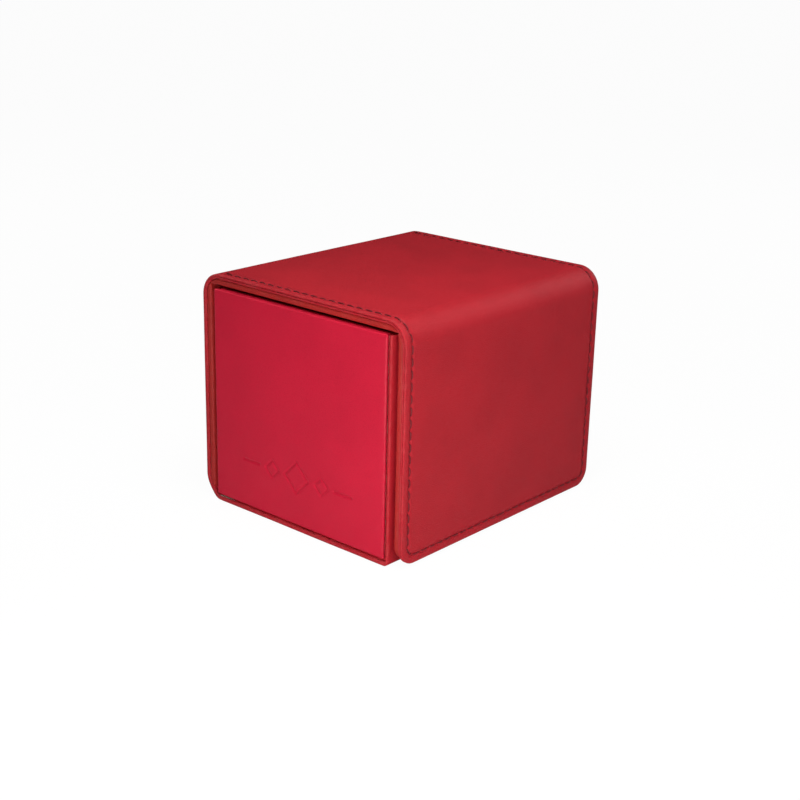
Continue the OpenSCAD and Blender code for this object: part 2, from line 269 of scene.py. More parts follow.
def finish_mesh(bm, name):
    """Welds, closes the open ends with a crisp edge, and makes the object."""
    bmesh.ops.remove_doubles(bm, verts=bm.verts, dist=1e-6)
    ends = [e for e in bm.edges if e.is_boundary]
    if ends:
        bmesh.ops.holes_fill(bm, edges=ends, sides=0)
    for e in ends:
        e.smooth = False
    bmesh.ops.recalc_face_normals(bm, faces=bm.faces)
    for face in bm.faces:
        face.smooth = True
    return object_from(bm, name)


def layer(name, stations, profile, shares, place=in_cover, foot=0.0, press=None):
    """A sheet with rounded free edges: its profile follows both sides of the run, and round the
    foot where foot is the corner radius there. press gives how far the outer face is pushed in."""
    bm = bmesh.new()
    bm.verts.layers.float.new("edge")
    bm.verts.layers.float.new("fold")
    reach = profile[0][0]
    last = stations[-1]
    run = [0.0]
    for a, b in zip(stations, stations[1:]):
        run.append(run[-1] + (b.outer - a.outer).length)

    def point(station, across, share, inset, along, down=0.0):
        flat = station.outer.lerp(station.inner, share)
        if press and share < 0.5:
            inward = (station.inner - station.outer).normalized()
            flat = flat + inward * press(inset, along, place(flat, across)) * (1 - 2 * share)
        flat = flat - Vector((0, down))
        return place(flat, across), 1 - smooth_step(0.0002, 0.0014, inset), station.fold

    for share in (0.0, 1.0):
        rows = []
        for station, along in zip(stations, run):
            span = station.high - station.low - 2 * reach
            start = station.low + reach
            rows.append([point(station, start + span * c, share, reach, along) for c in shares])
        add_grid(bm, rows)

    def stops(side):
        """Places along one side's free edge, as functions: inset to station, across, along, down."""
        found = []
        for station, along in zip(stations, run):
            edge = station.low if side < 0 else station.high
            found.append(lambda inset, s=station, e=edge, u=along: (s, e - side * inset, u, 0.0))
        if foot:
            edge = (last.low if side < 0 else last.high) - side * foot
            for i in range(1, 12):
                angle = math.pi / 2 * i / 12
                arc = run[-1] + (foot - seam_inset()) * angle
                found.append(lambda inset, a=angle, e=edge, u=arc: (
                    last, e + side * (foot - inset) * math.cos(a), u, (foot - inset) * math.sin(a)))
        return found

    def band(found):
        add_grid(bm, [[
            point(s, across, share, inset, along, down)
            for inset, share in profile for s, across, along, down in [stop(inset)]
        ] for stop in found])

    if foot:
        end = run[-1] + (foot - seam_inset()) * math.pi / 2
        span = last.high - last.low - 2 * foot
        bottom = [
            lambda inset, c=c: (last, last.low + foot + span * c, end + span * min(c, 1 - c), foot - inset)
            for c in shares
        ]
        band(stops(-1) + bottom + stops(1)[::-1])
    else:
        band(stops(-1))
        band(stops(1))
    return finish_mesh(bm, name)


def seam_inset():
    return bpy.context.scene.deck_sewing.inset


def arc_points(centre, radius, start, end, count):
    """(point, direction from the centre) along an arc in X and Z."""
    found = []
    for i in range(count + 1):
        angle = start + (end - start) * i / count
        out = Vector((math.cos(angle), math.sin(angle)))
        found.append((centre + out * radius, out))
    return found


RIGHT_FOLD = Vector((FOLD_X, FOLD_Z))
LEFT_FOLD = Vector((-FOLD_X, FOLD_Z))
FOOT_FOLD = Vector((-FOLD_X, FOLD_R))


def upper_run(spacing, foot):
    """Outer face of the cover from the lid's left end over the right fold and down the flap, as
    (point, outward, fold), ending where the flap's corners begin."""
    found = [(Vector((x, LID_TOP)), Vector((0, 1)), 0.0)
             for x in steps(-FOLD_X + JOIN, FOLD_X, spacing)[:-1]]
    count = max(12, round(FOLD_R * math.pi / 2 / spacing))
    for i, (p, out) in enumerate(arc_points(RIGHT_FOLD, FOLD_R, math.pi / 2, 0, count)):
        found.append((p, out, math.sin(math.pi * i / count)))
    found += [(Vector((X_OUT, z)), Vector((1, 0)), 0.0) for z in steps(FOLD_Z, foot, spacing)[1:]]
    return found


def spine_run(spacing):
    """Outer face from the foot fold up the spine and over the left fold, as (point, outward, fold)."""
    start = FOLD_R + JOIN
    found = [(Vector((-X_OUT, z)), Vector((-1, 0)), 0.0) for z in steps(start, FOLD_Z, spacing)[:-1]]
    count = 24
    for i, (p, out) in enumerate(arc_points(LEFT_FOLD, FOLD_R, math.pi, math.pi / 2, count)):
        found.append((p, out, math.sin(math.pi * i / count)))
    found.append((Vector((-FOLD_X + JOIN, LID_TOP)), Vector((0, 1)), 0.0))
    return found


def stations_of(run, outside, inside, half=HALF_DEPTH):
    """Stations of a layer between two depths under the outer face."""
    return [Station(p - out * outside, p - out * inside, -half, half, fold) for p, out, fold in run]


def wave_press(inset, along, point):
    """Slow unevenness of a large face."""
    amount = bpy.context.scene.deck_cover.wave
    return amount * noise.noise(point * 38) + 0.35 * amount * noise.noise(point * 140)


def nearest_hole(along, pitch):
    """Distance along the seam to the nearest needle hole."""
    phase = (along / pitch) % 1
    return min(phase, 1 - phase) * pitch


def seam_press(inset, along, point):
    """The seam's channel and needle holes, and the swell between the seam and the edge."""
    sewing = bpy.context.scene.deck_sewing
    off = inset - sewing.inset
    depth = wave_press(inset, along, point)
    if abs(off) < SEAM_REACH:
        to_hole = nearest_hole(along, sewing.pitch)
        depth += sewing.channel * bump_at(off, CHANNEL_WIDTH)
        depth += sewing.hole * bump_at(off, HOLE_ACROSS) * bump_at(to_hole, HOLE_ALONG)
        for beside in SWELL_OFF:
            depth -= SWELL * bump_at(off - beside, SWELL_WIDTH)
    return depth


def turn_notch(piece, low_x, high_x, grow=0.0):
    """Cuts the thumb notch through a wall between two X places."""
    tray = bpy.context.scene.deck_tray
    r = tray.notch_width / 2 + grow
    z = TRAY_TOP - tray.notch_depth + tray.notch_width / 2
    outline = [Vector((math.cos(a) * r, z + math.sin(a) * r)) for a in steps(math.pi, 2 * math.pi, 0.06)]
    outline += [Vector((r, TRAY_TOP + r)), Vector((-r, TRAY_TOP + r))]
    bm = bmesh.new()
    near = [bm.verts.new((low_x, p.x, p.y)) for p in outline]
    far = [bm.verts.new((high_x, p.x, p.y)) for p in outline]
    bm.faces.new(near)
    bm.faces.new(far)
    for i in range(len(outline)):
        j = (i + 1) % len(outline)
        bm.faces.new((near[i], near[j], far[j], far[i]))
    bmesh.ops.recalc_face_normals(bm, faces=bm.faces)
    cutter = object_from(bm, "notch_cutter")
    cut = piece.modifiers.new("notch", "BOOLEAN")
    cut.object = cutter
    cut.operation = "DIFFERENCE"
    cut.solver = "EXACT"
    apply_modifiers(piece)
    bpy.data.objects.remove(cutter)
    sharpen(piece, math.radians(40))
    return piece


def apply_modifiers(piece):
    seen = piece.evaluated_get(bpy.context.evaluated_depsgraph_get())
    mesh = bpy.data.meshes.new_from_object(seen)
    piece.modifiers.clear()
    piece.data = mesh


def sharpen(piece, angle):
    """Marks edges that turn more than angle as sharp."""
    bm = bmesh.new()
    bm.from_mesh(piece.data)
    for e in bm.edges:
        if len(e.link_faces) == 2 and e.calc_face_angle() > angle:
            e.smooth = False
    bm.to_mesh(piece.data)
    bm.free()


def eased_copy(name, node, radius, shrink=(0.0, 0.0, 0.0), angle=30):
    """A CAD shape with softly rounded edges, drawn in by shrink on each side."""
    bm = bmesh.new()
    bm.from_mesh(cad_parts[node].data)
    bmesh.ops.remove_doubles(bm, verts=bm.verts, dist=1e-6)
    bmesh.ops.dissolve_limit(bm, angle_limit=math.radians(1), verts=bm.verts, edges=bm.edges)
    low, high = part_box(node)
    middle = (low + high) / 2
    for v in bm.verts:
        for axis in range(3):
            size = high[axis] - low[axis]
            v.co[axis] = middle[axis] + (v.co[axis] - middle[axis]) * (1 - 2 * shrink[axis] / size)
    for face in bm.faces:
        face.smooth = True
    made = object_from(bm, name)
    ease = made.modifiers.new("ease", "BEVEL")
    ease.width = radius
    ease.segments = 3
    ease.limit_method = "ANGLE"
    ease.angle_limit = math.radians(angle)
    even = made.modifiers.new("even", "WEIGHTED_NORMAL")
    even.weight = 90
    return made


# ---- material nodes ----

def add_node(tree, kind, **settings):
    node = tree.nodes.new("ShaderNode" + kind)
    for key, value in settings.items():
        if key in node.inputs:
            node.inputs[key].default_value = value
        else:
            setattr(node, key, value)
    return node


def sum_of(tree, operation, a, b=None, clamp=False):
    """A Math node fed by sockets or plain numbers; gives its output."""
    node = add_node(tree, "Math", operation=operation, use_clamp=clamp)
    for i, value in enumerate((a, b)):
        if isinstance(value, bpy.types.NodeSocket):
            tree.links.new(value, node.inputs[i])
        elif value is not None:
            node.inputs[i].default_value = value
    return node.outputs[0]


def mixed(tree, factor, a, b):
    """Colour a turning to b by factor."""
    node = add_node(tree, "Mix", data_type="RGBA")
    for name, value in (("Factor", factor), ("A", a), ("B", b)):
        socket = [s for s in node.inputs if s.name == name and s.enabled][0]
        if isinstance(value, bpy.types.NodeSocket):
            tree.links.new(value, socket)
        else:
            socket.default_value = value
    return [s for s in node.outputs if s.enabled][0]


def ramp(tree, value, low, high):
    """0 below low, 1 above high, smooth between."""
    node = add_node(tree, "MapRange", interpolation_type="SMOOTHSTEP")
    node.inputs["From Min"].default_value = low
    node.inputs["From Max"].default_value = high
    tree.links.new(value, node.inputs["Value"])
    return node.outputs["Result"]


def new_group(name, inputs, outputs):
    """An empty shader node group with these named sockets: (tree, inputs, outputs)."""
    tree = bpy.data.node_groups.new(name, "ShaderNodeTree")
    for label, kind, value in inputs:
        socket = tree.interface.new_socket(name=label, in_out="INPUT", socket_type=kind)
        if value is not None:
            socket.default_value = value
    for label, kind in outputs:
        tree.interface.new_socket(name=label, in_out="OUTPUT", socket_type=kind)
    return tree, tree.nodes.new("NodeGroupInput").outputs, tree.nodes.new("NodeGroupOutput").inputs


def pebble_grain():
    """Small rounded pebbles with fine lines between them, on a slow unevenness."""
    tree, given, out = new_group(
        "Pebble grain",
        [("Vector", "NodeSocketVector", None), ("Pebbles per metre", "NodeSocketFloat", 1300.0),
         ("Unevenness", "NodeSocketFloat", 0.5)],
        [("Height", "NodeSocketFloat"), ("Furrow", "NodeSocketFloat")])
    warp = add_node(tree, "TexNoise", Detail=2.0)
    size = sum_of(tree, "MULTIPLY", given["Pebbles per metre"], 0.45)
    tree.links.new(given["Vector"], warp.inputs["Vector"])
    tree.links.new(size, warp.inputs["Scale"])
    push = add_node(tree, "VectorMath", operation="MULTIPLY_ADD")
    push.inputs[1].default_value = (0.0005, 0.0005, 0.0005)
    tree.links.new(warp.outputs["Color"], push.inputs[0])
    tree.links.new(given["Vector"], push.inputs[2])
    cells = add_node(tree, "TexVoronoi", feature="SMOOTH_F1", Smoothness=0.35)
    lines = add_node(tree, "TexVoronoi", feature="DISTANCE_TO_EDGE")
    for voronoi in (cells, lines):
        tree.links.new(push.outputs[0], voronoi.inputs["Vector"])
        tree.links.new(given["Pebbles per metre"], voronoi.inputs["Scale"])
    furrow = ramp(tree, lines.outputs["Distance"], 0.16, 0.0)
    dome = sum_of(tree, "SUBTRACT", 1.0, cells.outputs["Distance"])
    pressed = sum_of(tree, "MULTIPLY", furrow, 0.55)
    height = sum_of(tree, "SUBTRACT", dome, pressed)
    slow = add_node(tree, "TexNoise", Detail=3.0)
    tree.links.new(given["Vector"], slow.inputs["Vector"])
    tree.links.new(sum_of(tree, "MULTIPLY", given["Pebbles per metre"], 0.12), slow.inputs["Scale"])
    uneven = sum_of(tree, "MULTIPLY", slow.outputs[0], given["Unevenness"])
    tree.links.new(sum_of(tree, "ADD", height, uneven), out["Height"])
    tree.links.new(furrow, out["Furrow"])
    return tree


def tone_drift():
    """Slow and fine variation of a colour."""
    tree, given, out = new_group(
        "Tone drift",
        [("Vector", "NodeSocketVector", None), ("Colour", "NodeSocketColor", (0.5, 0.5, 0.5, 1)),
         ("Shade", "NodeSocketColor", (0.3, 0.3, 0.3, 1)), ("Patches per metre", "NodeSocketFloat", 45.0),
         ("Amount", "NodeSocketFloat", 0.5)],
        [("Colour", "NodeSocketColor"), ("Mask", "NodeSocketFloat")])
    patches = add_node(tree, "TexNoise", Detail=4.0, Roughness=0.55)
    specks = add_node(tree, "TexNoise", Detail=2.0, Scale=2600.0)
    for texture in (patches, specks):
        tree.links.new(given["Vector"], texture.inputs["Vector"])
    tree.links.new(given["Patches per metre"], patches.inputs["Scale"])
    slow = ramp(tree, patches.outputs[0], 0.35, 0.68)
    fine = ramp(tree, specks.outputs[0], 0.5, 0.75)
    both = sum_of(tree, "ADD", slow, sum_of(tree, "MULTIPLY", fine, 0.35))
    mask = sum_of(tree, "MULTIPLY", both, given["Amount"], clamp=True)
    tree.links.new(mixed(tree, mask, given["Colour"], given["Shade"]), out["Colour"])
    tree.links.new(mask, out["Mask"])
    return tree


def edge_wear():
    """Rubbed edges: a paler colour and a mask, strongest at the rounding and broken up by noise."""
    tree, given, out = new_group(
        "Edge wear",
        [("Vector", "NodeSocketVector", None), ("Colour", "NodeSocketColor", (0.5, 0.5, 0.5, 1)),
         ("Rubbed", "NodeSocketColor", (0.8, 0.7, 0.7, 1)), ("Amount", "NodeSocketFloat", 0.5)],
        [("Colour", "NodeSocketColor"), ("Mask", "NodeSocketFloat")])
    near = add_node(tree, "Attribute", attribute_name="edge")
    broken = add_node(tree, "TexNoise", Detail=5.0, Scale=420.0, Roughness=0.7)
    tree.links.new(given["Vector"], broken.inputs["Vector"])
    patchy = ramp(tree, broken.outputs[0], 0.38, 0.66)
    rubbed = sum_of(tree, "MULTIPLY", near.outputs["Fac"], patchy)
    mask = sum_of(tree, "MULTIPLY", rubbed, given["Amount"], clamp=True)
    tree.links.new(mixed(tree, mask, given["Colour"], given["Rubbed"]), out["Colour"])
    tree.links.new(mask, out["Mask"])
    return tree


def fold_creases():
    """Short crossing creases where leatherette bends, as a mask."""
    tree, given, out = new_group(
        "Fold creases",
        [("Vector", "NodeSocketVector", None), ("Amount", "NodeSocketFloat", 0.5)],
        [("Mask", "NodeSocketFloat")])
    inside = add_node(tree, "Attribute", attribute_name="fold")
    lines = add_node(tree, "TexNoise", noise_type="RIDGED_MULTIFRACTAL", Detail=3.0, Scale=170.0)
    tree.links.new(given["Vector"], lines.inputs["Vector"])
    patches = add_node(tree, "TexNoise", Detail=1.0, Scale=60.0)
    tree.links.new(given["Vector"], patches.inputs["Vector"])
    ridge = ramp(tree, lines.outputs[0], 1.15, 1.6)
    some = ramp(tree, patches.outputs[0], 0.45, 0.6)
    within = sum_of(tree, "MULTIPLY", inside.outputs["Fac"], some)
    mask = sum_of(tree, "MULTIPLY", sum_of(tree, "MULTIPLY", ridge, within), given["Amount"], clamp=True)
    tree.links.new(mask, out["Mask"])
    return tree


def place_group(tree, name, **values):
    """A shader group node; values are sockets to link or plain defaults, with _ for spaces."""
    node = tree.nodes.new("ShaderNodeGroup")
    node.node_tree = bpy.data.node_groups.get(name) or GROUPS[name]()
    for key, value in values.items():
        socket = node.inputs[key.replace("_", " ")]
        if isinstance(value, bpy.types.NodeSocket):
            tree.links.new(value, socket)
        else:
            socket.default_value = value
    return node


GROUPS = {
    "Pebble grain": pebble_grain,
    "Tone drift": tone_drift,
    "Edge wear": edge_wear,
    "Fold creases": fold_creases,
}


def start_material(name, **settings):
    """A Principled material: (material, tree, shader, vector socket)."""
    made = bpy.data.materials.new(name)
    made.use_nodes = True
    tree = made.node_tree
    shader = tree.nodes["Principled BSDF"]
    for key, value in settings.items():
        shader.inputs[key.replace("_", " ")].default_value = value
    return made, tree, shader, add_node(tree, "TexCoord").outputs["Object"]


def add_bump(tree, shader, height, distance, strength=1.0):
    bump = add_node(tree, "Bump", Strength=strength, Distance=distance)
    tree.links.new(height, bump.inputs["Height"])
    tree.links.new(bump.outputs["Normal"], shader.inputs["Normal"])


def shade(colour, by, towards=(0.0, 0.0, 0.0)):
    """A colour mixed with another, as four numbers."""
    return tuple(c + (t - c) * by for c, t in zip(colour, towards)) + (1.0,)


def make_leatherette(name, colour, pebbles, depth, roughness, wear, creases, drift, **settings):
    """Coated leatherette: pebbled, with painted shade in the grain's furrows, a little worn at its edges and
    creased in its folds.
    """
    made, tree, shader, place = start_material(name, **settings)
    grain = place_group(tree, "Pebble grain", Vector=place, Pebbles_per_metre=pebbles)
    toned = place_group(
        tree, "Tone drift", Vector=place, Colour=shade(colour, 0), Shade=shade(colour, 0.30), Amount=drift)
    worn = place_group(
        tree, "Edge wear", Vector=place, Colour=toned.outputs["Colour"],
        Rubbed=shade(colour, 0.22, (1.0, 0.55, 0.5)), Amount=wear)
    creased = place_group(tree, "Fold creases", Vector=place, Amount=creases)
    crease_tone = shade(colour, 0.30, (1.0, 0.6, 0.55))
    pale = mixed(tree, creased.outputs["Mask"], worn.outputs["Colour"], crease_tone)
    # painted shade: the grain's furrows are darkened in the base colour, standing in for the shade that
    # falls in them
    dark = sum_of(tree, "MULTIPLY", grain.outputs["Furrow"], 0.25)
    tree.links.new(mixed(tree, dark, pale, shade(colour, 0.55)), shader.inputs["Base Color"])
    matt = sum_of(tree, "MULTIPLY_ADD", grain.outputs["Furrow"], 0.12)
    matt.node.inputs[2].default_value = roughness
    rubbed = sum_of(tree, "MULTIPLY_ADD", worn.outputs["Mask"], 0.18)
    tree.links.new(matt, rubbed.node.inputs[2])
    tree.links.new(rubbed, shader.inputs["Roughness"])
    raised = sum_of(tree, "MULTIPLY_ADD", creased.outputs["Mask"], -1.2)
    tree.links.new(grain.outputs["Height"], raised.node.inputs[2])
    add_bump(tree, shader, raised, depth)
    return made


def make_fibrous(name, colour, dark, patches, drift, fibres, shown, pale, depth, **settings):
    """A fibrous stuff, shaded in patches. fibres sets the noise of the fibres, shown the range of it
    that turns to the colour pale, and depth how far they stand up."""
    made, tree, shader, place = start_material(name, **settings)
    toned = place_group(
        tree, "Tone drift", Vector=place, Colour=shade(colour, 0), Shade=shade(colour, dark),
        Patches_per_metre=patches, Amount=drift)
    threads = add_node(tree, "TexNoise", **fibres)
    tree.links.new(place, threads.inputs["Vector"])
    mask = ramp(tree, threads.outputs[0], *shown)
    tree.links.new(mixed(tree, mask, toned.outputs["Colour"], pale), shader.inputs["Base Color"])
    add_bump(tree, shader, threads.outputs[0], depth)
    return made


def make_microfibre(name, colour):
    """Short-napped microfibre, brushed in patches."""
    made = make_fibrous(
        name, colour, 0.45, 90.0, 0.8, {"Detail": 6.0, "Scale": 3800.0, "Roughness": 0.8}, (0.35, 0.7),
        shade(colour, 0.12, (1.0, 0.5, 0.5)), 0.00018,
        Roughness=0.95, Specular_IOR_Level=0.2, Sheen_Weight=0.5, Sheen_Roughness=0.5)
    shader = made.node_tree.nodes["Principled BSDF"]
    shader.inputs["Sheen Tint"].default_value = shade(colour, 0.35, (1.0, 0.6, 0.6))
    return made


def make_greyboard(name, colour):
    """Recycled board with fibres and flecks."""
    return make_fibrous(
        name, colour, 0.3, 160.0, 0.7, {"Detail": 5.0, "Scale": 1500.0, "Distortion": 1.2}, (0.55, 0.7),
        shade(colour, 0.35, (1.0, 1.0, 0.95)), 0.00008, Roughness=0.9, Specular_IOR_Level=0.25)


def make_thread(name, colour):
    """Twisted polyester thread."""
    return make_fibrous(
        name, colour, 0.4, 900.0, 0.8, {"Detail": 4.0, "Scale": 5200.0}, (0.5, 0.7),
        shade(colour, 0.06, (1.0, 0.4, 0.4)), 0.00005, Roughness=0.5, Specular_IOR_Level=0.2)


def make_magnet(name):
    """Nickel plate with fine turning marks."""
    made, tree, shader, place = start_material(name, Metallic=1.0)
    shader.inputs["Base Color"].default_value = (0.62, 0.60, 0.57, 1)
    marks = add_node(tree, "TexNoise", Detail=3.0, Scale=2400.0)
    tree.links.new(place, marks.inputs["Vector"])
    tree.links.new(mixed(tree, ramp(tree, marks.outputs[0], 0.4, 0.7), (0.66, 0.64, 0.61, 1),
                         (0.5, 0.48, 0.46, 1)), shader.inputs["Base Color"])
    polish = sum_of(tree, "MULTIPLY_ADD", marks.outputs[0], 0.2)
    polish.node.inputs[2].default_value = 0.18
    tree.links.new(polish, shader.inputs["Roughness"])
    add_bump(tree, shader, marks.outputs[0], 0.00002)
    return made


LEATHERETTES = {
    # slot: colour, (pebbles per metre, depth, roughness, wear, creases, drift), gloss
    "grained_leatherette": ("grained", (2000.0, 0.00005, 0.46, 0.14, 0.6, 0.35), 0.17),
    "smooth_leatherette": ("smooth", (2600.0, 0.000018, 0.36, 0.12, 0.0, 0.22), 0.15),
    "lining_leatherette": ("lining", (2400.0, 0.00003, 0.48, 0.08, 0.0, 0.4), 0.2),
}


def material(name):
    """A material by its name, made the first time it is asked for."""
    own = "deck_" + name
    if own in bpy.data.materials:
        return bpy.data.materials[own]
    finish = bpy.context.scene.deck_finishes
    if name in LEATHERETTES:
        key, values, gloss = LEATHERETTES[name]
        return make_leatherette(own, getattr(finish, key), *values, Specular_IOR_Level=gloss)
    if name == "microfibre":
        return make_microfibre(own, finish.cloth)
    if name == "greyboard":
        return make_greyboard(own, finish.board)
    if name == "thread":
        return make_thread(own, finish.thread)
    return make_magnet(own)


def dress(piece, slot, body, *nodes):
    """Gives a piece the material of its slot, hides the CAD nodes it takes the place of, and lets it ride
    its body.
    """
    piece.data.materials.clear()
    piece.data.materials.append(material(slot))
    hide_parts(*nodes)
    if body:
        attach(piece, body)
    return piece


def fold_blend(piece, first, second, side, up_start):
    """Bends a piece sharply at the outside of an upper fold; side is -1 left and 1 right."""
    crease = Vector((side * (FOLD_X + FOLD_R / math.sqrt(2)), 0, FOLD_Z + FOLD_R / math.sqrt(2)))
    along = Vector((1, 0, 1 if up_start else -1)).normalized()
    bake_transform(piece, first, second, start=crease - along * BEND, end=crease + along * BEND)


# ---- operators ----

class BuildStep(bpy.types.Operator):
    """Shared form of the building operators"""
    bl_options = {"REGISTER", "UNDO"}

    def execute(self, context):
        self.build(context.scene)
        return {"FINISHED"}


class DECKBOX_OT_studio(BuildStep):
    """Make the camera, the pale floor and the soft lights"""
    bl_idname = "deckbox.studio"
    bl_label = "Studio"

    def build(self, scene):
        studio = scene.deck_studio
        yaw, pitch, roll = studio.yaw, studio.pitch, studio.roll
        ahead = Vector((math.sin(yaw) * math.cos(pitch), math.cos(yaw) * math.cos(pitch), -math.sin(pitch)))
        right = Vector((math.cos(yaw), -math.sin(yaw), 0))
        up = right.cross(ahead)
        tilted_right = right * math.cos(roll) + up * math.sin(roll)
        tilted_up = up * math.cos(roll) - right * math.sin(roll)
        lens = bpy.data.cameras.new("camera")
        lens.lens = studio.lens
        lens.sensor_width = 36.0
        lens.clip_start = 0.01
        camera = bpy.data.objects.new("camera", lens)
        turn = Matrix((tilted_right, tilted_up, -ahead)).transposed().to_4x4()
        camera.matrix_world = Matrix.Translation(Vector(studio.camera)) @ turn
        scene.collection.objects.link(camera)
        scene.camera = camera
        self.make_floor(scene, studio)
        for name, (at, aim, size, power) in LIGHTS.items():
            self.make_light(scene, name, Vector(at), Vector(aim), size, power)
        world = bpy.data.worlds.new("room")
        world.use_nodes = True
        sky = world.node_tree.nodes["Background"]
        sky.inputs["Color"].default_value = (1, 1, 1, 1)
        sky.inputs["Strength"].default_value = studio.world
        output = world.node_tree.nodes["World Output"]
        self.add_glow(world.node_tree, sky.outputs[0], output, 1.0)
        scene.world = world
        scene.view_settings.view_transform = "Standard"

    def make_floor(self, scene, studio):
        bm = bmesh.new()
        bmesh.ops.create_grid(bm, x_segments=8, y_segments=8, size=FLOOR_REACH)
        floor = object_from(bm, "floor")
        made, tree, shader, place = start_material("floor_paper", Roughness=0.9, Specular_IOR_Level=0.1)
        tooth = add_node(tree, "TexNoise", Scale=900.0)
        tree.links.new(place, tooth.inputs["Vector"])
        add_bump(tree, shader, tooth.outputs[0], 0.00003)
        shader.inputs["Base Color"].default_value = tuple(studio.floor) + (1,)
        self.add_glow(tree, shader.outputs["BSDF"], tree.nodes["Material Output"], studio.glow)
        floor.data.materials.append(made)

    def add_glow(self, tree, surface, output, amount):
        """Lets a stage surface look nearly white to the camera without lighting the box."""
        white = tree.nodes.new("ShaderNodeEmission")
        white.inputs["Strength"].default_value = STAGE_WHITE
        path = tree.nodes.new("ShaderNodeLightPath")
        seen = sum_of(tree, "MULTIPLY", path.outputs["Is Camera Ray"], amount)
        both = tree.nodes.new("ShaderNodeMixShader")
        tree.links.new(seen, both.inputs[0])
        tree.links.new(surface, both.inputs[1])
        tree.links.new(white.outputs[0], both.inputs[2])
        tree.links.new(both.outputs[0], output.inputs["Surface"])

    def make_light(self, scene, name, at, aim, size, power):
        lamp = bpy.data.lights.new(name, "AREA")
        lamp.energy = power
        lamp.size = size
        light = bpy.data.objects.new(name, lamp)
        light.visible_camera = False
        light.location = at
        light.rotation_euler = (aim - at).to_track_quat("-Z", "Y").to_euler()
        scene.collection.objects.link(light)


LIGHTS = {
    # name: place, aim, size, watts
    "low_softbox": ((0.12, -0.22, 0.02), (0.02, -0.05, 0.04), 0.12, 0.56),
    "side_softbox": ((0.33, -0.06, 0.07), (0.04, 0.0, 0.04), 0.2, 0.40),
    "top_softbox": ((0.06, -0.06, 0.26), (0.03, -0.03, 0.08), 0.12, 0.46),
    "back_fill": ((0.15, 0.70, 0.35), (0.0, 0.0, 0.04), 0.4, 1.3),
    "left_fill": ((-0.70, -0.10, 0.40), (0.0, 0.0, 0.04), 0.4, 1.3),
}


class DECKBOX_OT_upper_skins(BuildStep):
    """Sew the outer and backing leatherette of the lid and flap, one sheet each over the right fold"""
    bl_idname = "deckbox.upper_skins"
    bl_label = "Lid and flap leatherette"

    def build(self, scene):
        cover = scene.deck_cover
        corner = cover.corner
        shares = steps(0, 1, 1 / 160)
        # closer together near the seam, where the leatherette is pulled in
        insets = (0.0048, 0.0042, 0.0038, 0.0035, 0.0033, 0.0031, 0.0029, 0.0027, 0.0025, 0.0022,
                  0.0018, 0.0014, 0.0010, 0.0006)
        run = upper_run(0.00055, FLAP_FOOT + corner)
        profile = rounded_profile(corner, SKIN, cover.edge, cover.edge, insets)
        skin = layer("cover_skin", stations_of(run, 0, SKIN), profile, shares,
                     foot=corner, press=seam_press)
        dress(skin, "grained_leatherette", None, "lid_skin", "flap_fold_skin", "flap_skin")
        fold_blend(skin, "lid", "flap", 1, False)
        run = upper_run(COARSE, FLAP_FOOT + corner)
        profile = rounded_profile(corner, BOTH_SKINS - SKIN, cover.edge, cover.edge, (0.002, 0.0008))
        inner = layer("cover_backing", stations_of(run, SKIN, BOTH_SKINS), profile, steps(0, 1, 1 / 24),
                      foot=corner)
        dress(inner, "grained_leatherette", None, "lid_backing", "flap_fold_backing", "flap_backing")
        fold_blend(inner, "lid", "flap", 1, False)


class DECKBOX_OT_spine(BuildStep):
    """Wrap the spine and the left fold in one turned sheet"""
    bl_idname = "deckbox.spine"
    bl_label = "Spine leatherette"

    def build(self, scene):
        cover = scene.deck_cover
        run = spine_run(0.002)
        profile = rounded_profile(0.004, BOTH_SKINS, cover.edge * 1.6, cover.edge * 1.6, (0.002, 0.001))
        spine = layer("spine_wrap", stations_of(run, 0, BOTH_SKINS), profile, steps(0, 1, 1 / 40),
                      press=wave_press)
        dress(spine, "grained_leatherette", None,
              "spine_skin", "spine_backing", "lid_fold_skin", "lid_fold_backing")
        fold_blend(spine, "tray", "lid", -1, True)


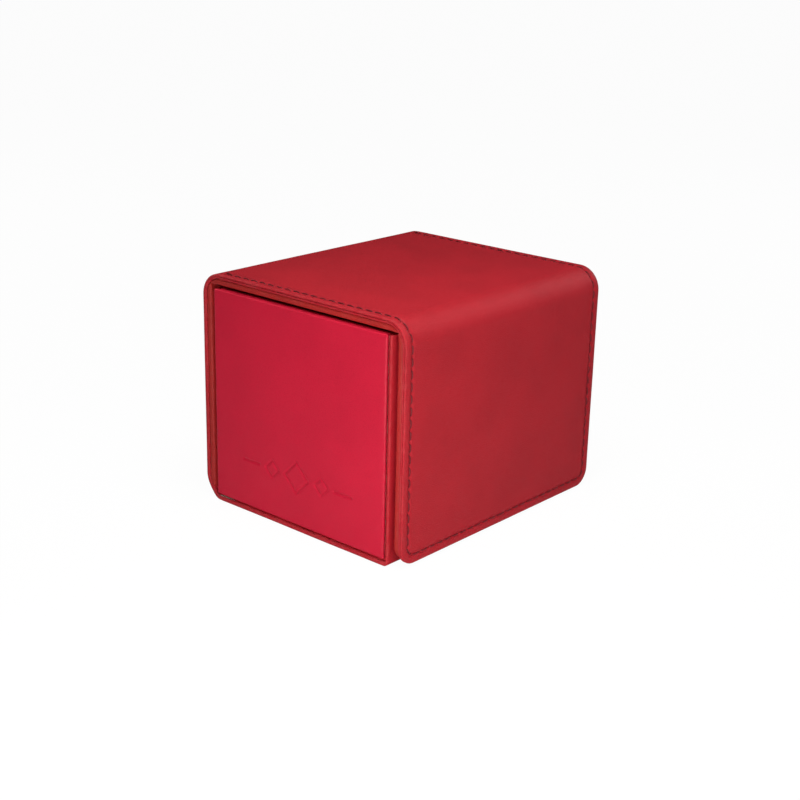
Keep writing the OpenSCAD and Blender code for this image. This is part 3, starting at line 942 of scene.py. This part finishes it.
class DECKBOX_OT_base_strip(BuildStep):
    """Run the cover's strip up the tray's right wall, under it and round the foot fold"""
    bl_idname = "deckbox.base_strip"
    bl_label = "Base strip"

    def build(self, scene):
        cover = scene.deck_cover
        r = cover.strip_corner
        inner_corner = Vector((STRIP_RIGHT - STRIP_THICK, BASE_TOP))
        found = []
        for z in steps(TRAY_TOP, r, COARSE):
            found.append((Vector((STRIP_RIGHT, z)), Vector((inner_corner.x, max(z, BASE_TOP))), 0.0))
        for p, _ in arc_points(Vector((STRIP_RIGHT - r, r)), r, 0, -math.pi / 2, 6)[1:]:
            found.append((p, inner_corner, 0.0))
        for x in steps(STRIP_RIGHT - r, -FOLD_X, 0.002)[1:]:
            ease = 1 - smooth_step(-FOLD_X, -FOLD_X + 0.012, x)
            found.append((Vector((x, 0)), Vector((x, BASE_TOP + (BOTH_SKINS - BASE_TOP) * ease)), 0.0))
        count = 16
        for i, (p, out) in enumerate(arc_points(FOOT_FOLD, FOLD_R, -math.pi / 2, -math.pi, count)[1:]):
            found.append((p, p - out * BOTH_SKINS, math.sin(math.pi * i / count)))
        found.append((Vector((-X_OUT, FOLD_R + JOIN)), Vector((-X_OUT + BOTH_SKINS, FOLD_R + JOIN)), 0.0))
        stations = []
        for outer, inner, fold in found:
            narrow = 1 - smooth_step(-FOLD_X - FOLD_R * 0.85, -FOLD_X + 0.001, outer.x)
            half = TRAY_HALF + (HALF_DEPTH - TRAY_HALF) * narrow
            stations.append(Station(outer, inner, -half, half, fold))
        profile = rounded_profile(0.004, BASE_TOP, cover.edge * 1.6, cover.edge * 2.6, (0.002, 0.0013))
        strip = layer("base_wrap", stations, profile, steps(0, 1, 1 / 24), press=wave_press)
        turn_notch(strip, *THROUGH_STRIP)
        dress(strip, "grained_leatherette", "tray", "base_skin", "side_strip_skin", "foot_fold")
        card = eased_copy("base_card", "base_board", 0.0001, (0.0001, CARD_BACK, 0.0001))
        dress(card, "greyboard", "tray", "base_board")
        side = eased_copy("side_card", "side_strip_board", 0.0001, (0.0001, CARD_BACK, CARD_BACK))
        turn_notch(side, *THROUGH_STRIP, CARD_BACK)
        dress(side, "greyboard", "tray", "side_strip_board")


def lining_profile(reach):
    edge = bpy.context.scene.deck_cover.board_edge
    return rounded_profile(reach, X_OUT - BOTH_SKINS - X_IN, edge * 0.85, edge, (0.0025, 0.0015))


class DECKBOX_OT_linings(BuildStep):
    """Cover the lining boards of spine, lid and flap, mitred where they meet"""
    bl_idname = "deckbox.linings"
    bl_label = "Lining boards"

    def build(self, scene):
        half = LINING_HALF
        end = MITRE_ANGLE
        outer_end = RIGHT_FOLD + Vector((math.cos(end), math.sin(end))) * FOLD_IN
        mitre = outer_end.x - outer_end.y
        lid_corner = Vector((LID_IN + mitre, LID_IN))
        side_corner = Vector((X_IN, X_IN - (2 * (FOLD_X - FOLD_Z) - mitre)))
        count = 8

        def on_side(side, angle, inner):
            """A station at an angle round the right fold, mirrored to the left where side is -1."""
            outer = RIGHT_FOLD + Vector((math.cos(angle), math.sin(angle))) * FOLD_IN
            return Station(
                Vector((side * outer.x, outer.y)), Vector((side * inner.x, inner.y)), -half, half, 0.0)

        def upper_end(side):
            """Stations over a fold's lining on the lid, from the flat to the mitre."""
            found = []
            for i in range(1, count + 1):
                angle = math.pi / 2 + (end - math.pi / 2) * i / count
                inner = Vector((FOLD_X, LID_IN)).lerp(lid_corner, i / count)
                found.append(on_side(side, angle, inner))
            return found

        def side_end(side):
            """Stations of a fold's lining on the spine or flap, from the mitre to the flat."""
            found = []
            for i in range(count + 1):
                angle = (math.pi / 2 - end) * (1 - i / count)
                inner = side_corner.lerp(Vector((X_IN, FOLD_Z)), i / count)
                found.append(on_side(side, angle, inner))
            return found

        flat = [Station(Vector((x, LID_TOP - BOTH_SKINS)), Vector((x, LID_IN)), -half, half, 0.0)
                for x in steps(-FOLD_X, FOLD_X, COARSE)]
        lid = layer("lid_lining_cover", upper_end(-1)[::-1] + flat + upper_end(1), lining_profile(0.004),
                    steps(0, 1, 1 / 24))
        dress(lid, "lining_leatherette", "lid", "lid_lining")

        foot_r = scene.deck_cover.corner - (HALF_DEPTH - LINING_HALF)
        down = [Station(Vector((X_OUT - BOTH_SKINS, z)), Vector((X_IN, z)), -half, half, 0.0)
                for z in steps(FOLD_Z, LINING_FOOT + foot_r, COARSE)[1:]]
        flap = layer("flap_lining_cover", side_end(1) + down, lining_profile(foot_r), steps(0, 1, 1 / 24),
                     foot=foot_r)
        dress(flap, "lining_leatherette", "flap", "flap_lining")

        tip = math.acos((X_IN - FOLD_X) / FOLD_IN) * 0.96
        foot = []
        for i in range(count + 1):
            angle = tip * (1 - i / count)
            outer = FOOT_FOLD - Vector((math.cos(angle), math.sin(angle))) * FOLD_IN
            foot.append(Station(outer, Vector((-X_IN, outer.y)), -half, half, 0.0))
        up = [Station(Vector((-X_OUT + BOTH_SKINS, z)), Vector((-X_IN, z)), -half, half, 0.0)
              for z in steps(FOLD_R, FOLD_Z, COARSE)[1:-1]]
        spine = layer("spine_lining_cover", foot + up + side_end(-1)[::-1], lining_profile(0.004),
                      steps(0, 1, 1 / 24))
        dress(spine, "lining_leatherette", "tray", "spine_lining")


class DECKBOX_OT_stitching(BuildStep):
    """Lay the thread along the lid, the right fold and round the flap"""
    bl_idname = "deckbox.stitching"
    bl_label = "Stitching"

    def build(self, scene):
        sewing, corner = scene.deck_sewing, scene.deck_cover.corner
        run = upper_run(STITCH_GRID, FLAP_FOOT + corner)
        path = []
        along = 0.0
        before = run[0][0]
        for p, out, _ in run:
            along += (p - before).length
            before = p
            path.append((along, in_cover(p, -HALF_DEPTH + sewing.inset), in_cover(out, 0)))
        turn = corner - sewing.inset
        outward = Vector((1, 0, 0))
        centre = Vector((X_OUT, -HALF_DEPTH + corner, FLAP_FOOT + corner))
        for angle in steps(0, math.pi / 2, 0.08)[1:]:
            spot = centre + Vector((0, -math.cos(angle), -math.sin(angle))) * turn
            path.append((along + turn * angle, spot, outward))
        along += turn * math.pi / 2
        for y in steps(-HALF_DEPTH + corner, 0, STITCH_GRID)[1:]:
            spot = Vector((X_OUT, y, FLAP_FOOT + sewing.inset))
            path.append((along + y + HALF_DEPTH - corner, spot, outward))
        back = [(u, Vector((p.x, -p.y, p.z)), out) for u, p, out in path[-2::-1]]
        self.lay_thread(sewing, path + back)

    def lay_thread(self, sewing, path):
        """A two-ply tube that rises over each stitch and dives at each needle hole."""
        bm = bmesh.new()
        rings = []
        travelled = 0.0
        before = path[0][1]
        for i, (along, spot, outward) in enumerate(path):
            travelled += (spot - before).length
            before = spot
            ahead = (path[min(i + 1, len(path) - 1)][1] - path[max(i - 1, 0)][1]).normalized()
            across = ahead.cross(outward).normalized()
            lift = 0.55 * sewing.thread - sewing.channel
            dive = DIVE * bump_at(nearest_hole(along, sewing.pitch), DIVE_WIDTH)
            knot = KNOT * bump_at(min(along, 0.0016) - 0.0009, 0.0006) if along < 0.0022 else 0.0
            middle = spot + outward * (lift - dive + knot)
            ring = []
            twist = travelled / HALF_TWIST * math.pi
            for k in range(TUBE_SIDES):
                angle = 2 * math.pi * k / TUBE_SIDES
                r = sewing.thread * (0.86 + 0.16 * abs(math.cos(angle - twist))) * (1 + 0.5 * knot / KNOT)
                around = across * math.cos(angle) + outward * math.sin(angle)
                ring.append(bm.verts.new(middle + around * r))
            rings.append(ring)
        for a, b in zip(rings, rings[1:]):
            for k in range(TUBE_SIDES):
                j = (k + 1) % TUBE_SIDES
                bm.faces.new((a[k], a[j], b[j], b[k]))
        bm.faces.new(rings[0])
        bm.faces.new(rings[-1])
        thread = finish_mesh(bm, "cover_stitching")
        dress(thread, "thread", None, "lid_stitches", "flap_fold_stitches", "flap_stitches")
        fold_blend(thread, "lid", "flap", 1, False)


def emblem_press(x, z, tray):
    """Depth of the pressed row of diamonds and bars at a place on the front panel."""
    line, r = tray.emblem_line, tray.emblem_r
    small = r * 0.6
    bar = r * 1.4
    step = r + small + 2 * line
    u = abs(x - (panel_low.x + panel_high.x) / 2)
    v = abs(z - tray.emblem_z)

    def diamond(middle, radius):
        return abs(abs(u - middle) + v - (radius - line / math.sqrt(2))) / math.sqrt(2)

    bar_middle = step + small + 2 * line + bar / 2
    beside = max(abs(u - bar_middle) - bar / 2 + line / 2, 0)
    distance = min(diamond(0, r), diamond(step, small), math.hypot(beside, v))
    return tray.emblem_depth * smooth_step(line / 2 + 0.00016, line / 2 - 0.00016, distance)


class DECKBOX_OT_tray_ends(BuildStep):
    """Face the tray's front and back with smooth panels turned over the rim, the front one embossed"""
    bl_idname = "deckbox.tray_ends"
    bl_label = "Facing panels"

    def build(self, scene):
        tray = scene.deck_tray
        self.panel(tray, "front_facing", "front_panel", -1)
        self.panel(tray, "back_facing", "back_panel", 1)

    def panel(self, tray, name, node, side):
        low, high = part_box(node)
        face_y = abs(low.y) if side < 0 else high.y
        inside_y = abs(high.y) if side < 0 else low.y
        thick = face_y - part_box("tray_back_board")[1].y
        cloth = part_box("back_lining")[1].y - inside_y
        rim = tray.rim
        inner_low, inner_high = front_lining_low.x, front_lining_high.x

        def place(flat, across):
            return Vector((across, side * flat.x, flat.y))

        found = []
        dense = tray.emblem_r + 0.0012
        marks = steps(low.z, tray.emblem_z - dense, COARSE)
        dense_step = EMBLEM_GRID if side < 0 else COARSE
        fine = steps(tray.emblem_z - dense, tray.emblem_z + dense, dense_step)
        marks += fine[1:] + steps(tray.emblem_z + dense, TRAY_TOP - rim, COARSE)[1:]
        for z in marks:
            found.append((Vector((face_y, z)), Vector((face_y - thick, min(z, BOARD_TOP))), 0))
        corner = Vector((face_y - thick, BOARD_TOP))
        for p, _ in arc_points(Vector((face_y - rim, TRAY_TOP - rim)), rim, 0, math.pi / 2, 6)[1:]:
            found.append((p, corner, 0))
        inside = inside_y + cloth
        for y in steps(face_y - rim, inside_y + rim * 0.6, 0.0008)[1:]:
            found.append((Vector((y, TRAY_TOP)), Vector((max(y, inside), BOARD_TOP)), 0.4))
        inner_rim = Vector((inside_y + rim * 0.6, TRAY_TOP - rim * 0.6))
        for p, _ in arc_points(inner_rim, rim * 0.6, math.pi / 2, math.pi, 5)[1:]:
            found.append((p, Vector((inside, BOARD_TOP)), 1))
        for z in steps(TRAY_TOP - rim * 0.6, TURN_Z, 0.0015)[1:]:
            found.append((Vector((inside_y, z)), Vector((inside, min(z, BOARD_TOP))), 1))
        stations = []
        for outer, inner, turned in found:
            from_x = low.x + (inner_low - low.x) * turned
            to_x = high.x + (inner_high - high.x) * turned
            stations.append(Station(outer, inner, from_x, to_x, 0.0))
        reach = 0.003
        across = high.x - low.x - 2 * reach
        half = (4.2 * tray.emblem_r + 0.002) / across
        if side < 0:
            fine = steps(0.5 - half, 0.5 + half, EMBLEM_GRID / across)
            shares = steps(0, 0.5 - half, 0.05)[:-1] + fine + steps(0.5 + half, 1, 0.05)[1:]
        else:
            shares = steps(0, 1, 1 / 24)
        profile = rounded_profile(reach, thick, tray.panel_edge, tray.panel_edge * 0.5, (0.0018, 0.001))

        def press(inset, along, point):
            depth = wave_press(inset, along, point)
            if side < 0 and abs(point.y) > face_y - 1e-5:
                depth += emblem_press(point.x, point.z, tray)
            return depth

        panel = layer(name, stations, profile, shares, place=place, press=press)
        dress(panel, "smooth_leatherette", "tray", node)


class DECKBOX_OT_tray_sides(BuildStep):
    """Wrap the tray's left and right walls, turned over the rim, with the thumb notch and its binding"""
    bl_idname = "deckbox.tray_sides"
    bl_label = "Tray walls"

    def build(self, scene):
        into_groove = (0.0, -0.0003, 0.0)
        for name, node, radius, shrink in (
                ("left_wall_wrap", "tray_left_skin", 0.00025, (0.0, 0.0, 0.0)),
                ("right_wall_wrap", "tray_right_skin", 0.00025, into_groove),
                ("bottom_wrap", "tray_bottom_skin", 0.0002, into_groove)):
            dress(eased_copy(name, node, radius, shrink), "grained_leatherette", "tray", node)
        for wall in ("floor", "front", "back"):
            node = "tray_" + wall + "_board"
            board = eased_copy(wall + "_wall_board", node, 0.0001, (0.0004, 0.00005, 0.0))
            dress(board, "greyboard", "tray", node)


class DECKBOX_OT_inside(BuildStep):
    """Line the tray with microfibre"""
    bl_idname = "deckbox.inside"
    bl_label = "Microfibre lining"

    def build(self, scene):
        for wall in ("floor", "front", "back", "left", "right"):
            node = wall + "_lining"
            cloth = eased_copy(wall + "_microfibre", node, 0.00018)
            dress(cloth, "microfibre", "tray", node)


class DECKBOX_OT_core(BuildStep):
    """Give the boards and magnets inside the covers their materials"""
    bl_idname = "deckbox.core"
    bl_label = "Boards and magnets"

    def build(self, scene):
        for name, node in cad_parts.items():
            if node.hide_render:
                continue
            finish = "magnet" if "magnet" in name else "greyboard"
            node.data.materials.clear()
            node.data.materials.append(material(finish))


STEPS = (
    DECKBOX_OT_studio, DECKBOX_OT_upper_skins, DECKBOX_OT_spine, DECKBOX_OT_base_strip,
    DECKBOX_OT_linings, DECKBOX_OT_stitching, DECKBOX_OT_tray_ends, DECKBOX_OT_tray_sides,
    DECKBOX_OT_inside, DECKBOX_OT_core,
)
SETTINGS = {
    "deck_sewing": SewingSizes,
    "deck_cover": CoverSizes,
    "deck_tray": TraySizes,
    "deck_finishes": Finishes,
    "deck_studio": StudioSizes,
}


class DECKBOX_PT_panel(bpy.types.Panel):
    """The building steps, in order"""
    bl_idname = "DECKBOX_PT_panel"
    bl_label = "Deck Box"
    bl_space_type = "VIEW_3D"
    bl_region_type = "UI"
    bl_category = "Deck Box"

    def draw(self, context):
        for step in STEPS:
            self.layout.operator(step.bl_idname)
        for name, group in SETTINGS.items():
            box = self.layout.box()
            box.label(text=group.__doc__)
            for key in group.__annotations__:
                box.prop(getattr(context.scene, name), key)


def register():
    for group in SETTINGS.values():
        bpy.utils.register_class(group)
    for name, group in SETTINGS.items():
        setattr(bpy.types.Scene, name, PointerProperty(type=group))
    for step in STEPS:
        bpy.utils.register_class(step)
    bpy.utils.register_class(DECKBOX_PT_panel)


def unregister():
    bpy.utils.unregister_class(DECKBOX_PT_panel)
    for step in reversed(STEPS):
        bpy.utils.unregister_class(step)
    for name, group in SETTINGS.items():
        delattr(bpy.types.Scene, name)
        bpy.utils.unregister_class(group)


def main():
    register()
    for step in STEPS:
        family, name = step.bl_idname.split(".")
        getattr(getattr(bpy.ops, family), name)()


if __name__ == "__main__":
    main()
